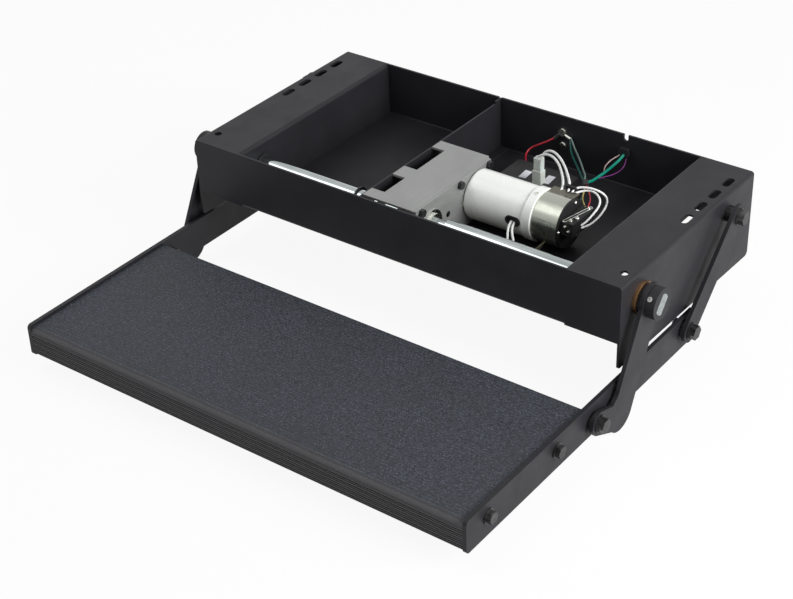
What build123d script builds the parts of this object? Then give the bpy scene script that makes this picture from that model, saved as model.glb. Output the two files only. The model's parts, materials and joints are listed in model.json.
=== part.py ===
from build123d import *
import math
import os

# Electric entry step, deployed. Millimetres, X across, -Y towards the user, +Z up.
# The origin is midway between the two front mounting holes, on the mounting plane.

# Housing sheet metal
housing_width = 620.0
housing_depth = 311.0
flange_width = 74.0
wall_height = 74.0
side_front_drop = 107.5
side_rear_drop = 116.0
sheet = 2.7
outer_bend = 4.0
flange_bend = 5.0
side_corner_radius = 6.0
wing_clearance = 0.5
bend_clearance = 0.3

# Mounting holes
hole_setback = 28.5
hole_inset = 14.0
front_hole_diameter = 10.0
slot_count = 4
slot_spacing = 34.0
slot_length = 22.0
slot_width = 10.0
slot_setback = 40.0

# Back wall notches
small_notch_width = 4.2
small_notch_depth = 5.0
large_notch_x = 135.0
large_notch_width = 6.5
large_notch_depth = 8.5

# Linkage: drive shaft axis, arm vector, and the rear arms' pivot seen from the back wall
shaft_y = 15.0
shaft_z = -34.5
arm_dy = -105.0
arm_dz = -103.5
rear_pivot_setback = 60.3
link_dz = 8.0

# Drive shaft
shaft_diameter = 25.4
shaft_mid_diameter = 19.0
shaft_overhang = 27.0
shaft_mid_left_x = -62.0
shaft_mid_right_x = 49.0
shaft_flats = 14.0
flats_angle = 51.1
running_fit = 0.05

# Bushes and washers on the shaft
bush_wall = 2.3
outer_flange_radius = 19.5
outer_flange_thickness = 2.5
bush_inner_length = 6.0
inner_flange_radius = 17.5
inner_flange_thickness = 2.0
washer_radius = 20.0
washer_thickness = 2.4
side_gap = 0.1
ring_x = -84.0
ring_width = 1.6
ring_groove = 0.6
ring_radius = 15.2
ring_gap = 8.0

# Arms
arm_standoff = 9.6
arm_thickness = 5.0
arm_hub_radius = 21.5
arm_boss_radius = 18.0
arm_front_offset = 18.5
arm_heel = (-58.5, -115.5)
arm_heel_radius = 25.5
arm_toe = (-72.0, -116.5)
arm_toe_radius = 17.0
arm_end_radius = 14.5
arm_crook_radius = 12.0
rear_arm_radius = 15.0
collar_radius = 19.05
collar_screw_diameter = 6.0
collar_screw_shift = 1.8
collar_screw_drop = 0.6
collar_screw_socket = 3.0

# Pivots
pivot_diameter = 12.0
pivot_thread = 10.0
pivot_hex = 16.0
pivot_flange_radius = 10.5
pivot_flange_thickness = 1.4
pivot_head_height = 7.5
spacer_radius = 10.0
nut_height = 8.0

# Rails and tread
rail_gap = 0.6
rail_thickness = 5.0
rail_top = -113.5
rail_bottom = -156.0
rail_front_y = -333.3
rail_rear_reach = 25.0
rail_corner = 5.0
rail_rear_cut_y = 11.0
rail_rear_cut_z = 4.5
tread_top = -117.5
tread_rear_y = -102.2
cover_thickness = 2.7
cover_nose_radius = 8.0
cover_front_bottom = -151.0
groove_count = 9
groove_width = 1.3
groove_depth = 0.9
pan_sheet = 2.3
pan_rear_bend = 3.3
pan_front_bottom = -149.0
pan_rear_bottom = -140.0
pan_end_bottom = -146.0
tread_bolt_ys = (-294.3, -163.7)
tread_bolt_z = -131.0
tread_bolt_thread = 8.0
tread_bolt_hex = 13.0
tread_bolt_head = 6.0
tread_bolt_flange_radius = 9.0
tread_bolt_flange = 1.5
tread_nut_height = 6.5

# Drive: divider, cover and motor plate
divider_x = -55.0
divider_sheet = 2.0
divider_top = -4.5
divider_foot = 16.0
divider_foot_gap = 2.0
divider_tab = 10.8
divider_hole_radius = 14.0
plate_x = 22.3
plate_thickness = 3.0
cover_top = -3.5
cover_front_y = -15.8
cover_rear_y = 145.5
cover_corner = 6.0
cover_lip_bottom = -19.0
window_depth = 19.0
window_spans = ((2.5, 44.0), (68.0, 126.5))
plate_rear_y = 141.0
plate_bolt_ys = (-5.6, 74.3, 135.3)
plate_bolt_z = -8.9
plate_bolt_thread = 5.0
plate_bolt_hex = 9.0
plate_bolt_head = 5.0
boss_flange_radius = 19.0
boss_step_radius = 14.5
boss_sleeve_radius = 12.5
boss_flange = 2.0
boss_step = 3.5

# Gear train
gear_module = 1.5
pressure_angle = 25.0
backlash = 0.16
drive_teeth = 34
small_teeth = 12
second_teeth = 28
first_teeth = 30
motor_floor_gap = 0.3
gear_pin_diameter = 8.0
gear_hub_radius = 5.5
gear_end_gap = 1.5
drive_gear_x = -10.0
drive_gear_width = 12.0
drive_hub_radius = 15.0
drive_hub_length = 8.0
second_gear_x = -24.0
second_gear_width = 10.0
first_gear_x = 6.0
first_gear_width = 8.0

# Motor
motor_can_radius = 32.0
motor_can_wall = 2.6
motor_can_length = 84.7
motor_can_corner = 3.5
motor_rim_radius = 33.5
motor_rim_length = 12.0
motor_rim_corner = 0.8
housing_radius = 31.0
brush_housing_wall = 2.0
brush_housing_length = 35.5
end_plate_thickness = 2.5
end_plate_step = 0.5
bearing_holder_wall = 2.0
motor_shaft_diameter = 8.0
bearing_radius = 11.0
bearing_width = 7.0
armature_radius = 24.0
armature_length = 58.0
armature_gap = 6.0
armature_neck = 9.0
magnet_overhang = 2.0
magnet_length = 62.0
commutator_radius = 13.0
commutator_length = 18.0
magnet_gap = 0.4
magnet_span = 130.0
top_plate_depth = 19.0
top_plate_thickness = 2.0
top_plate_drop = 1.5
top_plate_shift = 4.0
terminal_block_length = 18.0
terminal_block_depth = 48.5
terminal_block_back = 23.5
terminal_block_rise = 16.5
terminal_block_height = 18.0
terminal_block_corner = 2.0
grommet_setback = 11.5
grommet_width = 21.0
grommet_height = 12.0
grommet_lip = 1.4

# Control module, connector and small fittings
module_left = 5.0
module_length = 90.0
module_depth = 50.0
module_shift = 0.2
module_height = 18.3
module_corner = 3.0
connector_corner = 1.0
connector_inset = 54.0
connector_depth = 11.5
connector_joint_z = -35.0
connector_top_z = -18.0
plug_width = 11.0
plug_depth = 9.0
socket_width = 13.0
socket_depth = 11.0
wall_screw_places = ((43.0, -22.0), (43.0, -42.0))
wall_screw_layers = (2, 1)
wall_screw_thread = 5.0
wall_screw_head_radius = 4.6
wall_screw_head = 3.0
terminal_thickness = 0.9
terminal_ring_radius = 5.6
barrel_radius = 2.4
barrel_length = 9.0
barrel_angles = (-135.0, -20.0)
tongue_width = 3.0
clip_width = 13.0
clip_height = 12.0
clip_depth = 7.0
clip_z = -23.0
clip_corner = 2.0
sleeve_centre = (142.4, 171.8, -17.0)
sleeve_size = (12.0, 8.0, 7.0)
sleeve_corner = 3.0
sleeve_turn = -55.0

# Values that follow
side_x = housing_width / 2
inner_x = side_x - flange_width
wall_in_x = side_x - sheet
inner_wall_in_x = inner_x + sheet
front_y = -hole_setback
back_y = front_y + housing_depth
front_in_y = front_y + sheet
back_in_y = back_y - sheet
floor_z = sheet - wall_height
bend_x = inner_x + flange_bend
hole_x = side_x - hole_inset
last_slot_y = back_y - slot_setback
slot_ys = [last_slot_y - index * slot_spacing for index in range(slot_count)]
shaft_radius = shaft_diameter / 2
mid_radius = shaft_mid_diameter / 2
shaft_at = (shaft_y, shaft_z)
front_pivot = (shaft_y + arm_dy, shaft_z + arm_dz)
rear_arm_pivot = (back_in_y - rear_pivot_setback, shaft_z + link_dz)
rear_pivot = (rear_arm_pivot[0] + arm_dy, rear_arm_pivot[1] + arm_dz)
arm_plane_x = side_x + arm_standoff
arm_out_x = arm_plane_x + arm_thickness
shaft_end_x = side_x + shaft_overhang
rail_rear_y = rear_pivot[0] + rail_rear_reach
rail_in_x = side_x + rail_gap
rail_out_x = rail_in_x + rail_thickness
bush_radius = shaft_radius + running_fit + bush_wall
flange_out_x = side_x + outer_flange_thickness
washer_out_x = flange_out_x + washer_thickness
pivot_radius = pivot_diameter / 2
plate_out_x = plate_x + plate_thickness
can_end_x = plate_out_x + motor_can_length
rim_end_x = can_end_x + motor_rim_length
housing_end_x = rim_end_x + brush_housing_length
motor_end_x = housing_end_x + end_plate_thickness
cover_under_z = cover_top - plate_thickness
small_pitch = gear_module * small_teeth / 2


def pitch(teeth):
    return gear_module * teeth / 2


train_z = floor_z + motor_floor_gap + max(motor_rim_radius, housing_radius)
shaft_drop = train_z - shaft_z
second_y = shaft_y + math.sqrt((pitch(drive_teeth) + small_pitch) ** 2 - shaft_drop**2)
first_y = second_y + pitch(second_teeth) + small_pitch
motor_y = first_y + pitch(first_teeth) + small_pitch
second_at = (second_y, train_z)
first_at = (first_y, train_z)
motor_at = (motor_y, train_z)
grommet_x = can_end_x - grommet_setback
module_x = (module_left, module_left + module_length)
module_middle_y = (motor_y + motor_can_radius + back_in_y) / 2 + module_shift
module_y = (module_middle_y - module_depth / 2, module_middle_y + module_depth / 2)
connector_x = module_left + connector_inset
connector_y = module_y[0] + connector_depth


# Small helpers
def block(x0, x1, y0, y1, z0, z1):
    """Box between two corners."""
    return Pos((x0 + x1) / 2, (y0 + y1) / 2, (z0 + z1) / 2) * Box(x1 - x0, y1 - y0, z1 - z0)


def rod(x0, x1, place, radius):
    """Cylinder along X."""
    return Pos((x0 + x1) / 2, *place) * Rot(0, 90, 0) * Cylinder(radius, x1 - x0)


def tube(x0, x1, place, radius, bore):
    return rod(x0, x1, place, radius) - rod(x0, x1, place, bore)


def slab_x(sketch, x0, x1):
    """Outline drawn in Y and Z, thick along X."""
    return extrude(Plane.YZ.offset(x0) * sketch, amount=x1 - x0)


def slab_y(sketch, y0, y1):
    """Outline drawn in X and Z, thick along Y."""
    return extrude(Plane.XZ.offset(-y1) * sketch, amount=y1 - y0)


def slab_z(sketch, z0, z1):
    """Outline drawn in X and Y, thick along Z."""
    return extrude(Plane.XY.offset(z0) * sketch, amount=z1 - z0)


def outline(*points):
    return make_face(Polyline(*points, close=True))


def rectangle(u0, u1, v0, v1):
    return Pos((u0 + u1) / 2, (v0 + v1) / 2) * Rectangle(u1 - u0, v1 - v0)


def rounded(sketch, place, radius):
    """The sketch with the corner nearest to a place rounded."""
    corner = sketch.vertices().sort_by_distance(Vector(*place))[0]
    return fillet(corner, radius)


def hexagon(x0, x1, place, across):
    flats = Pos(*place) * RegularPolygon(across / 2, 6, major_radius=False)
    return slab_x(flats, x0, x1)


def group(pieces):
    """Identical pieces kept as separate solids of one node."""
    return Compound([solid for piece in pieces for solid in piece.solids()])


def mirrored(piece):
    return mirror(piece, about=Plane.YZ)


def both_sides(piece):
    return group([piece, mirrored(piece)])


def turned(place, angle):
    """Point in the YZ plane turned by an angle in degrees."""
    turn = math.radians(angle)
    return (
        place[0] * math.cos(turn) - place[1] * math.sin(turn),
        place[0] * math.sin(turn) + place[1] * math.cos(turn),
    )


def shifted(place, step, along=1.0):
    return (place[0] + step[0] * along, place[1] + step[1] * along)


def capsule(start, start_radius, end, end_radius):
    """Two circles and the tangents that join them."""
    dy, dz = end[0] - start[0], end[1] - start[1]
    heading = math.degrees(math.atan2(dz, dy))
    spread = math.degrees(math.acos((start_radius - end_radius) / math.hypot(dy, dz)))
    corners = [
        shifted(start, turned((start_radius, 0), heading + spread)),
        shifted(end, turned((end_radius, 0), heading + spread)),
        shifted(end, turned((end_radius, 0), heading - spread)),
        shifted(start, turned((start_radius, 0), heading - spread)),
    ]
    return outline(*corners) + Pos(*start) * Circle(start_radius) + Pos(*end) * Circle(end_radius)


def double_d(clearance=0.0):
    """Section of the flattened shaft ends."""
    across = Rot(0, 0, flats_angle) * Rectangle(3 * shaft_radius, shaft_flats + 2 * clearance)
    return Pos(*shaft_at) * (Circle(shaft_radius + clearance) & across)


# Housing
def end_wall():
    """Front or back wall in X and Z, with wings under the side flanges."""
    wing_top = -sheet
    corner = outer_bend - sheet + wing_clearance
    wings = rectangle(-wall_in_x, wall_in_x, -wall_height, wing_top)
    for side in (-1, 1):
        place = (side * wall_in_x, wing_top)
        tip = wings.vertices().sort_by_distance(Vector(*place))[0]
        wings = chamfer(tip, corner)
    return wings + rectangle(-bend_x, bend_x, -wall_height + outer_bend, 0)


def tray():
    outer = rectangle(front_y, back_y, -wall_height, 0)
    inner = rectangle(front_in_y, back_in_y, floor_z, sheet)
    for y in (front_y, back_y):
        outer = rounded(outer, (y, -wall_height), outer_bend)
    for y in (front_in_y, back_in_y):
        inner = rounded(inner, (y, floor_z), outer_bend - sheet)
    folded = slab_x(outer - inner, -inner_wall_in_x, inner_wall_in_x)
    wings = end_wall() - rectangle(-inner_wall_in_x, inner_wall_in_x, -wall_height, 0)
    folded += slab_y(wings, front_y, front_in_y) + slab_y(wings, back_in_y, back_y)
    tab_x = divider_x + divider_sheet / 2
    half = small_notch_width / 2
    folded -= block(tab_x - half, tab_x + half, back_in_y, back_y, -small_notch_depth, 0)
    half = large_notch_width / 2
    large_notch = rectangle(large_notch_x - half, large_notch_x + half, half - large_notch_depth, 0)
    large_notch += Pos(large_notch_x, half - large_notch_depth) * Circle(half)
    folded -= slab_y(large_notch, back_in_y, back_y)
    for x, z in wall_screw_places:
        folded -= slab_y(Pos(x, z) * Circle(wall_screw_thread / 2), back_in_y, back_y)
    return folded


def bend_corner(y):
    """Triangle in Y and Z that clears the floor's inner bend at one end of the tray."""
    reach = outer_bend - sheet + bend_clearance
    return Pos(y, floor_z) * Rot(0, 0, 45) * Rectangle(reach * math.sqrt(2), reach * math.sqrt(2))


def right_channel():
    """Top flange, deep outer wall and inner wall, folded from one sheet."""
    outer = rectangle(inner_x, side_x, -side_rear_drop, 0)
    outer = rounded(outer, (inner_x, 0), flange_bend)
    outer = rounded(outer, (side_x, 0), outer_bend)
    inner = rectangle(inner_wall_in_x, wall_in_x, -side_rear_drop, -sheet)
    inner = rounded(inner, (inner_wall_in_x, -sheet), flange_bend - sheet)
    inner = rounded(inner, (wall_in_x, -sheet), outer_bend - sheet)
    folded = slab_y(outer - inner, front_y, back_y)
    side = outline((front_y, 0), (back_y, 0), (back_y, -side_rear_drop), (front_y, -side_front_drop))
    side = rounded(side, (back_y, -side_rear_drop), side_corner_radius)
    side = rounded(side, (front_y, -side_front_drop), outer_bend)
    outside = rectangle(front_y, back_y, -side_rear_drop, 0) - side
    folded -= slab_x(outside, wall_in_x, side_x)
    folded -= block(inner_x, bend_x, front_y, back_y, -side_rear_drop, floor_z)
    folded -= block(inner_x, bend_x, front_y, front_in_y, -wall_height, 0)
    folded -= block(inner_x, bend_x, back_in_y, back_y, -wall_height, 0)
    for y in (front_in_y, back_in_y):
        folded -= slab_x(bend_corner(y), inner_x, inner_wall_in_x)
    hole = Pos(hole_x, 0) * Circle(front_hole_diameter / 2)
    slots = [Pos(hole_x, y) * Rot(0, 0, 90) * SlotOverall(slot_length, slot_width) for y in slot_ys]
    for opening in [hole, *slots]:
        folded -= slab_z(opening, -sheet, 0)
    folded -= rod(wall_in_x, side_x, shaft_at, bush_radius)
    folded -= rod(wall_in_x, side_x, rear_arm_pivot, pivot_thread / 2)
    folded -= rod(inner_x, inner_wall_in_x, shaft_at, bush_radius)
    return folded


# Shaft bearings
def outer_bush():
    bore = shaft_radius + running_fit
    sleeve = rod(wall_in_x - bush_inner_length, side_x, shaft_at, bush_radius)
    return sleeve + rod(side_x, flange_out_x, shaft_at, outer_flange_radius) - rod(
        wall_in_x - bush_inner_length, flange_out_x, shaft_at, bore
    )


def inner_bush():
    bore = shaft_radius + running_fit
    start = inner_x - inner_flange_thickness
    end = inner_wall_in_x + inner_flange_thickness
    sleeve = rod(inner_x, end, shaft_at, bush_radius)
    return sleeve + rod(start, inner_x, shaft_at, inner_flange_radius) - rod(
        start, end, shaft_at, bore
    )


def thrust_washer():
    return tube(flange_out_x, washer_out_x, shaft_at, washer_radius, shaft_radius + running_fit)


def shaft_boss():
    """Stepped ring that carries the thin middle of the shaft in the motor plate."""
    sleeve = rod(plate_x, plate_out_x, shaft_at, boss_sleeve_radius)
    flange_end = plate_out_x + boss_flange
    flange = rod(plate_out_x, flange_end, shaft_at, boss_flange_radius)
    step = rod(flange_end, flange_end + boss_step, shaft_at, boss_step_radius)
    bore = rod(plate_x, flange_end + boss_step, shaft_at, mid_radius + running_fit)
    return sleeve + flange + step - bore


# Divider, cover and motor plate
def divider():
    right = divider_x + divider_sheet
    sheet_part = block(divider_x, right, front_in_y, back_in_y, floor_z, divider_top)
    foot = block(
        divider_x, divider_x + divider_foot, front_in_y + divider_foot_gap, back_in_y - divider_foot_gap,
        floor_z, floor_z + divider_sheet,
    )
    tab = block(
        divider_x, right, back_in_y - divider_tab, back_y,
        -small_notch_depth, -divider_sheet / 2,
    )
    body = sheet_part + foot + tab
    for y in (front_in_y, back_in_y):
        body -= slab_x(bend_corner(y), divider_x, right)
    body -= rod(divider_x, right, shaft_at, divider_hole_radius)
    for place in (second_at, first_at):
        body -= rod(divider_x, right, place, gear_pin_diameter / 2)
    return body


def gear_cover():
    """Flat zinc plate with two windows on its left and a lip folded down on its right."""
    left = divider_x + divider_sheet
    section = rectangle(left, plate_x, cover_under_z, cover_top)
    section += rectangle(plate_x - plate_thickness, plate_x, cover_lip_bottom, cover_top)
    section = rounded(section, (plate_x, cover_top), plate_thickness)
    body = slab_y(section, cover_front_y, cover_rear_y)
    for start, end in window_spans:
        body -= block(left, left + window_depth, start, end, cover_under_z, cover_top)
    corner = outline(
        (plate_x - plate_thickness, cover_rear_y), (plate_x, cover_rear_y),
        (plate_x, cover_rear_y - cover_corner),
    )
    body -= slab_z(corner, cover_lip_bottom, cover_top)
    for y in plate_bolt_ys:
        body -= rod(plate_x - plate_thickness, plate_x, (y, plate_bolt_z), plate_bolt_thread / 2)
    return body


def motor_plate():
    body = block(plate_x, plate_out_x, cover_front_y, plate_rear_y, floor_z, cover_top)
    body -= rod(plate_x, plate_out_x, shaft_at, boss_sleeve_radius)
    body -= rod(plate_x, plate_out_x, motor_at, bearing_radius)
    for place in (second_at, first_at):
        body -= rod(plate_x, plate_out_x, place, gear_pin_diameter / 2)
    for y in plate_bolt_ys:
        body -= rod(plate_x, plate_out_x, (y, plate_bolt_z), plate_bolt_thread / 2)
    return body


def plate_bolts():
    bolts = []
    for y in plate_bolt_ys:
        place = (y, plate_bolt_z)
        shank = rod(plate_x - plate_thickness, plate_out_x, place, plate_bolt_thread / 2)
        bolts.append(shank + hexagon(plate_out_x, plate_out_x + plate_bolt_head, place, plate_bolt_hex))
    return group(bolts)


def gear_pins():
    return group([
        rod(divider_x, plate_out_x, place, gear_pin_diameter / 2)
        for place in (second_at, first_at)
    ])


# Gears
def gear_outline(teeth, phase):
    """Involute teeth; phase is the angle in degrees of one tooth's middle, from Y to Z."""
    pitch_radius = pitch(teeth)
    base_radius = pitch_radius * math.cos(math.radians(pressure_angle))
    tip_radius = pitch_radius + gear_module
    root_radius = pitch_radius - 1.25 * gear_module
    pressure = math.radians(pressure_angle)
    half_tooth = math.pi / (2 * teeth) - backlash / (2 * pitch_radius) + math.tan(pressure) - pressure
    start = max(base_radius, root_radius)
    steps = 4
    flank = []
    for step in range(steps + 1):
        radius = start + (tip_radius - start) * step / steps
        roll = math.acos(min(1.0, base_radius / radius))
        flank.append((radius, half_tooth - math.tan(roll) + roll))
    if root_radius < base_radius:
        flank.insert(0, (root_radius, flank[0][1]))
    points = []
    for index in range(teeth):
        middle = math.radians(phase) + 2 * math.pi * index / teeth
        points += [(r * math.cos(middle - a), r * math.sin(middle - a)) for r, a in flank]
        points += [(r * math.cos(middle + a), r * math.sin(middle + a)) for r, a in reversed(flank)]
    return outline(*points)


def gear(x0, x1, place, teeth, phase):
    return slab_x(Pos(*place) * gear_outline(teeth, phase), x0, x1)


def heading(start, end):
    return math.degrees(math.atan2(end[1] - start[1], end[0] - start[0]))


def meshed_phase(start, end, teeth):
    """Phase of the second gear of a pair whose first gear has a tooth on the centre line."""
    return heading(start, end) + 180 + 180 / teeth


def drive_gear():
    end = drive_gear_x + drive_gear_width
    toothed = gear(drive_gear_x, end, shaft_at, drive_teeth, heading(shaft_at, second_at))
    hub_end = end + drive_hub_length
    hub = rod(drive_gear_x, hub_end, shaft_at, drive_hub_radius)
    return toothed + hub - rod(drive_gear_x, hub_end, shaft_at, mid_radius)


def cluster(place, small_x, small_width, small_phase, large_x, large_width, large_teeth, large_phase):
    """Small and large gear on one hub that turns on its pin."""
    hub_start = divider_x + divider_sheet + gear_end_gap
    hub_end = plate_x - gear_end_gap
    body = rod(hub_start, hub_end, place, gear_hub_radius)
    body += gear(small_x, small_x + small_width, place, small_teeth, small_phase)
    body += gear(large_x, large_x + large_width, place, large_teeth, large_phase)
    return body - rod(hub_start, hub_end, place, gear_pin_diameter / 2 + running_fit)


def second_gear():
    return cluster(
        second_at, drive_gear_x, drive_gear_width, meshed_phase(shaft_at, second_at, small_teeth),
        second_gear_x, second_gear_width, second_teeth, heading(second_at, first_at),
    )


def first_gear():
    return cluster(
        first_at, second_gear_x, second_gear_width, meshed_phase(second_at, first_at, small_teeth),
        first_gear_x, first_gear_width, first_teeth, heading(first_at, motor_at),
    )


def motor_shaft():
    """Motor shaft with its pinion cut on the end."""
    start = first_gear_x - gear_end_gap
    body = rod(start, housing_end_x, motor_at, motor_shaft_diameter / 2)
    phase = meshed_phase(first_at, motor_at, small_teeth)
    return body + gear(first_gear_x, first_gear_x + first_gear_width, motor_at, small_teeth, phase)


def armature():
    """Lamination stack with the commutator behind it."""
    start = plate_out_x + bearing_width + armature_gap
    end = start + armature_length
    stack = rod(start, end, motor_at, armature_radius)
    commutator_start = end + armature_neck
    neck = rod(end, commutator_start, motor_at, motor_shaft_diameter)
    bars = rod(commutator_start, commutator_start + commutator_length, motor_at, commutator_radius)
    bore = rod(start, commutator_start + commutator_length, motor_at, motor_shaft_diameter / 2)
    return stack + neck + bars - bore


# Motor
def motor_can():
    """Drawn cup with its closed end on the motor plate and a wider rim."""
    cup = rod(plate_out_x, rim_end_x, motor_at, motor_can_radius)
    cup = fillet(cup.edges().group_by(Axis.X)[0], motor_can_corner)
    rim = rod(can_end_x, rim_end_x, motor_at, motor_rim_radius)
    rim = fillet(rim.edges().filter_by(GeomType.CIRCLE), motor_rim_corner)
    body = cup + rim
    inside = motor_can_radius - motor_can_wall
    body -= rod(plate_out_x + motor_can_wall, rim_end_x, motor_at, inside)
    body -= rod(plate_out_x, plate_out_x + motor_can_wall, motor_at, bearing_radius)
    return body - grommet_hole(grommet_width, grommet_height)


def grommet_hole(width, height):
    """Oval opening through the front of the can."""
    oval = Pos(grommet_x, train_z) * SlotOverall(width, height)
    front = motor_y - motor_can_radius - motor_can_wall
    return slab_y(oval, front, front + 3 * motor_can_wall)


def wire_grommet():
    lip = grommet_lip
    neck_width = grommet_width - 2 * lip
    flanged = grommet_hole(grommet_width, grommet_height)
    flanged -= grommet_hole(neck_width, grommet_height - 2 * lip)
    return flanged & tube(
        plate_out_x, can_end_x, motor_at, motor_can_radius + lip, motor_can_radius - motor_can_wall
    )


def brush_housing():
    body = rod(rim_end_x, housing_end_x, motor_at, housing_radius)
    top_z = train_z + housing_radius - top_plate_drop
    tangent_y = motor_y + top_plate_shift
    body += block(
        rim_end_x, housing_end_x, tangent_y, tangent_y + top_plate_depth,
        top_z - top_plate_thickness, top_z,
    )
    inside = housing_radius - brush_housing_wall
    return body - rod(rim_end_x, housing_end_x, motor_at, inside)


def motor_end_plate():
    """Black moulded end with its terminal block."""
    body = rod(housing_end_x, motor_end_x, motor_at, housing_radius - end_plate_step)
    start = housing_end_x - bearing_width
    holder = rod(start, housing_end_x, motor_at, bearing_radius + bearing_holder_wall)
    body += holder - rod(start, housing_end_x, motor_at, bearing_radius)
    return body + terminal_block()


def terminal_block():
    back, top = motor_y + terminal_block_back, train_z + terminal_block_rise
    body = block(
        motor_end_x, motor_end_x + terminal_block_length, back - terminal_block_depth, back,
        top - terminal_block_height, top,
    )
    outer = body.edges().filter_by(Axis.Z).group_by(Axis.X)[-1]
    return fillet(outer, terminal_block_corner)


def motor_bearings():
    bore = motor_shaft_diameter / 2 + running_fit
    front = tube(plate_x, plate_x + bearing_width, motor_at, bearing_radius, bore)
    rear = tube(housing_end_x - bearing_width, housing_end_x, motor_at, bearing_radius, bore)
    return group([front, rear])


def motor_magnets():
    outer = motor_can_radius - motor_can_wall
    inner = armature_radius + magnet_gap
    start = plate_out_x + bearing_width + armature_gap - magnet_overhang
    ring = tube(start, start + magnet_length, motor_at, outer, inner)
    half = magnet_span / 2
    reach = 2 * motor_can_radius
    wedge = outline((0, 0), turned((reach, 0), -half), (reach, 0), turned((reach, 0), half))
    pieces = []
    for angle in (90, 270):
        sector = Pos(*motor_at) * Rot(0, 0, angle) * wedge
        pieces.append(ring & slab_x(sector, start, start + magnet_length))
    return group(pieces)


# Shaft, arms and collars
def drive_shaft():
    body = rod(-shaft_end_x, shaft_mid_left_x, shaft_at, shaft_radius)
    body += rod(shaft_mid_left_x, shaft_mid_right_x, shaft_at, mid_radius)
    body += rod(shaft_mid_right_x, shaft_end_x, shaft_at, shaft_radius)
    waste = Pos(*shaft_at) * Circle(2 * shaft_radius) - double_d()
    for start, end in ((-shaft_end_x, -arm_plane_x), (arm_plane_x, shaft_end_x)):
        body -= slab_x(waste, start, end)
    groove = tube(ring_x, ring_x + ring_width, shaft_at, ring_radius, shaft_radius - ring_groove)
    return body - groove


def retaining_ring():
    ring = tube(ring_x, ring_x + ring_width, shaft_at, ring_radius, shaft_radius - ring_groove)
    gap = block(
        ring_x, ring_x + ring_width, shaft_y - ring_gap / 2, shaft_y + ring_gap / 2,
        shaft_z - 2 * ring_radius, shaft_z,
    )
    return ring - gap


def arm_outline():
    """Bent front arm: hub, leg, heel and toe."""
    leg = math.hypot(*arm_heel)
    down = (arm_heel[0] / leg, arm_heel[1] / leg)
    back = (-down[1], down[0])
    heel = shifted(shaft_at, arm_heel)
    strip = outline(
        shifted(shaft_at, back, -arm_front_offset), shifted(heel, back, -arm_front_offset),
        shifted(heel, back, arm_heel_radius), shifted(shaft_at, back, arm_hub_radius),
    )
    toe = shifted(shaft_at, arm_toe)
    sketch = strip + Pos(*shaft_at) * Circle(arm_hub_radius) + Pos(*heel) * Circle(arm_heel_radius)
    sketch += capsule(toe, arm_toe_radius, front_pivot, arm_end_radius)
    crook = shifted(shifted(shaft_at, back, -arm_front_offset), down, leg - arm_toe_radius)
    return rounded(sketch, crook, arm_crook_radius)


def right_front_arm():
    body = slab_x(arm_outline(), arm_plane_x, arm_out_x)
    body -= slab_x(double_d(), arm_plane_x, arm_out_x)
    boss_x = washer_out_x + side_gap
    body += tube(boss_x, arm_plane_x, shaft_at, arm_boss_radius, shaft_radius)
    return body - rod(arm_plane_x, arm_out_x, front_pivot, pivot_radius + running_fit)


def right_rear_arm():
    body = slab_x(
        capsule(rear_arm_pivot, rear_arm_radius, rear_pivot, rear_arm_radius), arm_plane_x, arm_out_x
    )
    for place in (rear_arm_pivot, rear_pivot):
        body -= rod(arm_plane_x, arm_out_x, place, pivot_radius + running_fit)
    return body


def screw_frame():
    """Frame on the shaft's flat, facing outward at the middle of the right collar."""
    middle = (arm_out_x + shaft_end_x) / 2 - collar_screw_shift
    outward = turned((1, 0), flats_angle + 90)
    flat = shifted(shaft_at, outward, shaft_flats / 2)
    return Plane(origin=(middle, *flat), x_dir=(1, 0, 0), z_dir=(0, *outward))


def set_screw(radius):
    length = collar_radius - shaft_flats / 2 - collar_screw_drop
    return screw_frame() * Pos(0, 0, length / 2) * Cylinder(radius, length)


def arm_collars():
    body = rod(arm_out_x, shaft_end_x, shaft_at, collar_radius)
    body -= slab_x(double_d(), arm_out_x, shaft_end_x)
    hole = screw_frame() * Pos(0, 0, collar_radius / 2) * Cylinder(
        collar_screw_diameter / 2, collar_radius
    )
    return both_sides(body - hole)


def collar_screws():
    length = collar_radius - shaft_flats / 2 - collar_screw_drop
    depth = collar_screw_socket / 2
    hexagonal = RegularPolygon(depth, 6, major_radius=False)
    socket = Pos(0, 0, length - depth) * extrude(hexagonal, amount=depth)
    return both_sides(set_screw(collar_screw_diameter / 2) - screw_frame() * socket)


# Pivots
def pivot_bolt(place, seat_x, nut_x):
    """Shoulder bolt with a flanged hexagon head outside the arm; its thread runs to the nut."""
    flange_x = arm_out_x + side_gap
    head_x = flange_x + pivot_flange_thickness
    body = rod(seat_x, flange_x, place, pivot_radius)
    body += rod(flange_x, head_x, place, pivot_flange_radius)
    body += hexagon(head_x, head_x + pivot_head_height, place, pivot_hex)
    return body + rod(nut_x, seat_x, place, pivot_thread / 2)


def pivot_spacer(place, seat_x):
    return tube(seat_x, arm_plane_x - side_gap, place, spacer_radius, pivot_radius)


def pivot_nut(place, face_x):
    nut = hexagon(face_x - nut_height, face_x, place, pivot_hex)
    return nut - rod(face_x - nut_height, face_x, place, pivot_thread / 2)


def rear_pivot_bolts():
    return both_sides(pivot_bolt(rear_arm_pivot, side_x, wall_in_x - nut_height))


def rear_pivot_spacers():
    return both_sides(pivot_spacer(rear_arm_pivot, side_x))


def rear_pivot_nuts():
    return both_sides(pivot_nut(rear_arm_pivot, wall_in_x))


def tread_pivot_bolts():
    return group([
        both_sides(pivot_bolt(place, rail_out_x, rail_in_x - nut_height))
        for place in (front_pivot, rear_pivot)
    ])


def tread_pivot_spacers():
    return group([
        both_sides(pivot_spacer(place, rail_out_x)) for place in (front_pivot, rear_pivot)
    ])


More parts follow.
